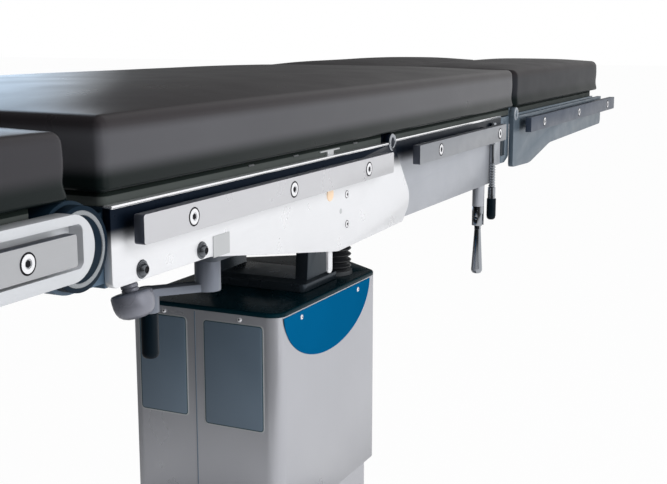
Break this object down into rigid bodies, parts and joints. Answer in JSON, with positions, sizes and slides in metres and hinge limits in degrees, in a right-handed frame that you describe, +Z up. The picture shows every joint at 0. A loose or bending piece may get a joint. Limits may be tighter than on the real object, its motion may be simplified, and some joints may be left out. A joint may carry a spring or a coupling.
{
  "type": "operating table",
  "caption": "Mobile operating table with a telescopic column, tilting top and hinged head, back, seat and split leg sections with side rails.",
  "frame": {"origin": "on the floor under the middle of the table top", "axes": "+Z up, +X towards the leg end, -Y to the lying patient's right"},
  "size_m": [2.152, 0.56, 0.897],
  "materials": {
    "plate_steel": "brushed",
    "rail_steel": "satin",
    "frame_alloy": "satin",
    "head_casting": "bead blasted",
    "board": "matte laminate",
    "mattress": "smooth coated cover over foam",
    "housing": "satin",
    "lever_steel": "polished",
    "grip_plastic": "matte",
    "column_skin": "brushed",
    "cap_plastic": "gloss",
    "machined_alloy": "machined",
    "actuator": "satin",
    "bellows_rubber": "matte",
    "chassis": "satin",
    "foot_rubber": "matte",
    "castor_plastic": "matte",
    "wheel_tyre": "matte"
  },
  "bodies": {
    "base": {"base_chassis": "chassis", "base_cover": "column_skin", "levelling_feet": "foot_rubber", "lower_column_cover": "column_skin", "lift_cylinder": "machined_alloy"},
    "column_middle": {"middle_column_cover": "column_skin"},
    "column_upper": {"upper_column_cover": "column_skin", "column_cap": "cap_plastic", "cardan_pedestal": "machined_alloy", "trend_actuator": "actuator", "trend_bellows": "bellows_rubber"},
    "cradle": {"cardan_cross": "machined_alloy", "tilt_actuator": "actuator", "tilt_bellows": "bellows_rubber"},
    "seat": {"seat_cross_members": "frame_alloy", "seat_side_plate_right": "plate_steel", "seat_side_plate_left": "plate_steel", "seat_rails": "rail_steel", "seat_board": "board", "seat_pad": "mattress", "mattress_fold": "mattress"},
    "back": {"back_side_plate_right": "plate_steel", "back_side_plate_left": "plate_steel", "back_cross_members": "frame_alloy", "back_rails": "rail_steel", "back_board": "board", "back_pad": "mattress", "crank_gearbox": "housing"},
    "crank": {"crank_arm": "lever_steel"},
    "crank_grip": {"crank_grip": "grip_plastic"},
    "lock_knob": {"lock_knob": "housing"},
    "head": {"head_arm_right": "head_casting", "head_arm_left": "head_casting", "head_rails": "rail_steel", "head_board": "board", "head_pad": "mattress"},
    "knuckle_right": {"leg_knuckle_right": "frame_alloy"},
    "leg_right": {"leg_arm_right": "frame_alloy", "leg_board_right": "board", "leg_pad_right": "mattress"},
    "clamp_spindle_right": {"clamp_spindle_right": "lever_steel"},
    "clamp_handle_right": {"clamp_handle_right": "lever_steel"},
    "release_rod_right": {"release_rod_right": "lever_steel"},
    "knuckle_left": {"leg_knuckle_left": "frame_alloy"},
    "leg_left": {"leg_arm_left": "frame_alloy", "leg_board_left": "board", "leg_pad_left": "mattress"},
    "clamp_spindle_left": {"clamp_spindle_left": "lever_steel"},
    "clamp_handle_left": {"clamp_handle_left": "lever_steel"},
    "release_rod_left": {"release_rod_left": "lever_steel"},
    "castor_leg_right": {"castor_fork_leg_right": "castor_plastic"},
    "castor_wheels_leg_right": {"castor_wheels_leg_right": "wheel_tyre"},
    "castor_leg_left": {"castor_fork_leg_left": "castor_plastic"},
    "castor_wheels_leg_left": {"castor_wheels_leg_left": "wheel_tyre"},
    "castor_head_right": {"castor_fork_head_right": "castor_plastic"},
    "castor_wheels_head_right": {"castor_wheels_head_right": "wheel_tyre"},
    "castor_head_left": {"castor_fork_head_left": "castor_plastic"},
    "castor_wheels_head_left": {"castor_wheels_head_left": "wheel_tyre"}
  },
  "joints": [
    {"name": "column_lift", "type": "slide", "parent": "base", "child": "column_upper", "axis": [0, 0, 1], "range_m": [-0.12, 0.18]},
    {"name": "column_middle_slide", "type": "slide", "parent": "base", "child": "column_middle", "axis": [0, 0, 1], "range_m": [-0.06, 0.09]},
    {"name": "trendelenburg", "type": "hinge", "parent": "column_upper", "child": "cradle", "pos_m": [0.007, 0, 0.7], "axis": [0, -1, 0], "range_deg": [-25, 25], "deforming": ["trend_bellows"]},
    {"name": "lateral_tilt", "type": "hinge", "parent": "cradle", "child": "seat", "pos_m": [0.007, 0, 0.7], "axis": [1, 0, 0], "range_deg": [-20, 20], "deforming": ["tilt_bellows"]},
    {"name": "back_hinge", "type": "hinge", "parent": "seat", "child": "back", "pos_m": [-0.144, 0, 0.829], "axis": [0, 1, 0], "range_deg": [-40, 75], "deforming": ["mattress_fold"]},
    {"name": "head_hinge", "type": "hinge", "parent": "back", "child": "head", "pos_m": [-0.771, 0, 0.802], "axis": [0, 1, 0], "range_deg": [-90, 30]},
    {"name": "crank_turn", "type": "hinge", "parent": "back", "child": "crank", "pos_m": [-0.489, -0.198, 0.7], "axis": [0, 0, 1], "range_deg": [-2200, 760]},
    {"name": "crank_grip_spin", "type": "hinge", "parent": "crank", "child": "crank_grip", "pos_m": [-0.537, -0.158, 0.66], "axis": [0, 0, 1], "continuous": true},
    {"name": "lock_knob_turn", "type": "hinge", "parent": "back", "child": "lock_knob", "pos_m": [-0.635, -0.2, 0.7596], "axis": [0, 0.2756, 0.9613], "range_deg": [-720, 0]},
    {"name": "leg_spread_right", "type": "hinge", "parent": "seat", "child": "knuckle_right", "pos_m": [0.352, -0.2385, 0.786], "axis": [0, 0, 1], "range_deg": [-90, 0]},
    {"name": "leg_drop_right", "type": "hinge", "parent": "knuckle_right", "child": "leg_right", "pos_m": [0.396, -0.2545, 0.829], "axis": [0, 1, 0], "range_deg": [-8, 90]},
    {"name": "clamp_turn_right", "type": "hinge", "parent": "seat", "child": "clamp_spindle_right", "pos_m": [0.261, -0.24, 0.675], "axis": [0, 0, -1], "range_deg": [-90, 90]},
    {"name": "clamp_lever_right", "type": "hinge", "parent": "clamp_spindle_right", "child": "clamp_handle_right", "pos_m": [0.261, -0.24, 0.671], "axis": [-1, 0, 0], "range_deg": [0, 90]},
    {"name": "release_pull_right", "type": "slide", "parent": "seat", "child": "release_rod_right", "axis": [0, 0, -1], "range_m": [0, 0.012], "stiffness_N_per_m": 800, "springref_m": -0.004},
    {"name": "leg_spread_left", "type": "hinge", "parent": "seat", "child": "knuckle_left", "pos_m": [0.352, 0.2385, 0.786], "axis": [0, 0, -1], "range_deg": [-90, 0]},
    {"name": "leg_drop_left", "type": "hinge", "parent": "knuckle_left", "child": "leg_left", "pos_m": [0.396, 0.2545, 0.829], "axis": [0, 1, 0], "range_deg": [-8, 90]},
    {"name": "clamp_turn_left", "type": "hinge", "parent": "seat", "child": "clamp_spindle_left", "pos_m": [0.261, 0.24, 0.675], "axis": [0, 0, 1], "range_deg": [-90, 90]},
    {"name": "clamp_lever_left", "type": "hinge", "parent": "clamp_spindle_left", "child": "clamp_handle_left", "pos_m": [0.261, 0.24, 0.671], "axis": [1, 0, 0], "range_deg": [0, 90]},
    {"name": "release_pull_left", "type": "slide", "parent": "seat", "child": "release_rod_left", "axis": [0, 0, -1], "range_m": [0, 0.012], "stiffness_N_per_m": 800, "springref_m": -0.004},
    {"name": "castor_swivel_leg_right", "type": "hinge", "parent": "base", "child": "castor_leg_right", "pos_m": [0.263, -0.184, 0.085], "axis": [0, 0, 1], "continuous": true},
    {"name": "wheel_roll_leg_right", "type": "hinge", "parent": "castor_leg_right", "child": "castor_wheels_leg_right", "pos_m": [0.243, -0.184, 0.04], "axis": [0, 1, 0], "continuous": true},
    {"name": "castor_swivel_leg_left", "type": "hinge", "parent": "base", "child": "castor_leg_left", "pos_m": [0.263, 0.184, 0.085], "axis": [0, 0, 1], "continuous": true},
    {"name": "wheel_roll_leg_left", "type": "hinge", "parent": "castor_leg_left", "child": "castor_wheels_leg_left", "pos_m": [0.243, 0.184, 0.04], "axis": [0, 1, 0], "continuous": true},
    {"name": "castor_swivel_head_right", "type": "hinge", "parent": "base", "child": "castor_head_right", "pos_m": [-0.403, -0.184, 0.085], "axis": [0, 0, 1], "continuous": true},
    {"name": "wheel_roll_head_right", "type": "hinge", "parent": "castor_head_right", "child": "castor_wheels_head_right", "pos_m": [-0.423, -0.184, 0.04], "axis": [0, 1, 0], "continuous": true},
    {"name": "castor_swivel_head_left", "type": "hinge", "parent": "base", "child": "castor_head_left", "pos_m": [-0.403, 0.184, 0.085], "axis": [0, 0, 1], "continuous": true},
    {"name": "wheel_roll_head_left", "type": "hinge", "parent": "castor_head_left", "child": "castor_wheels_head_left", "pos_m": [-0.423, 0.184, 0.04], "axis": [0, 1, 0], "continuous": true}
  ],
  "couplings": [
    {"joint": "column_middle_slide", "follows": "column_lift", "ratio": 0.5},
    {"joint": "crank_turn", "follows": "head_hinge", "ratio": 24}
  ]
}
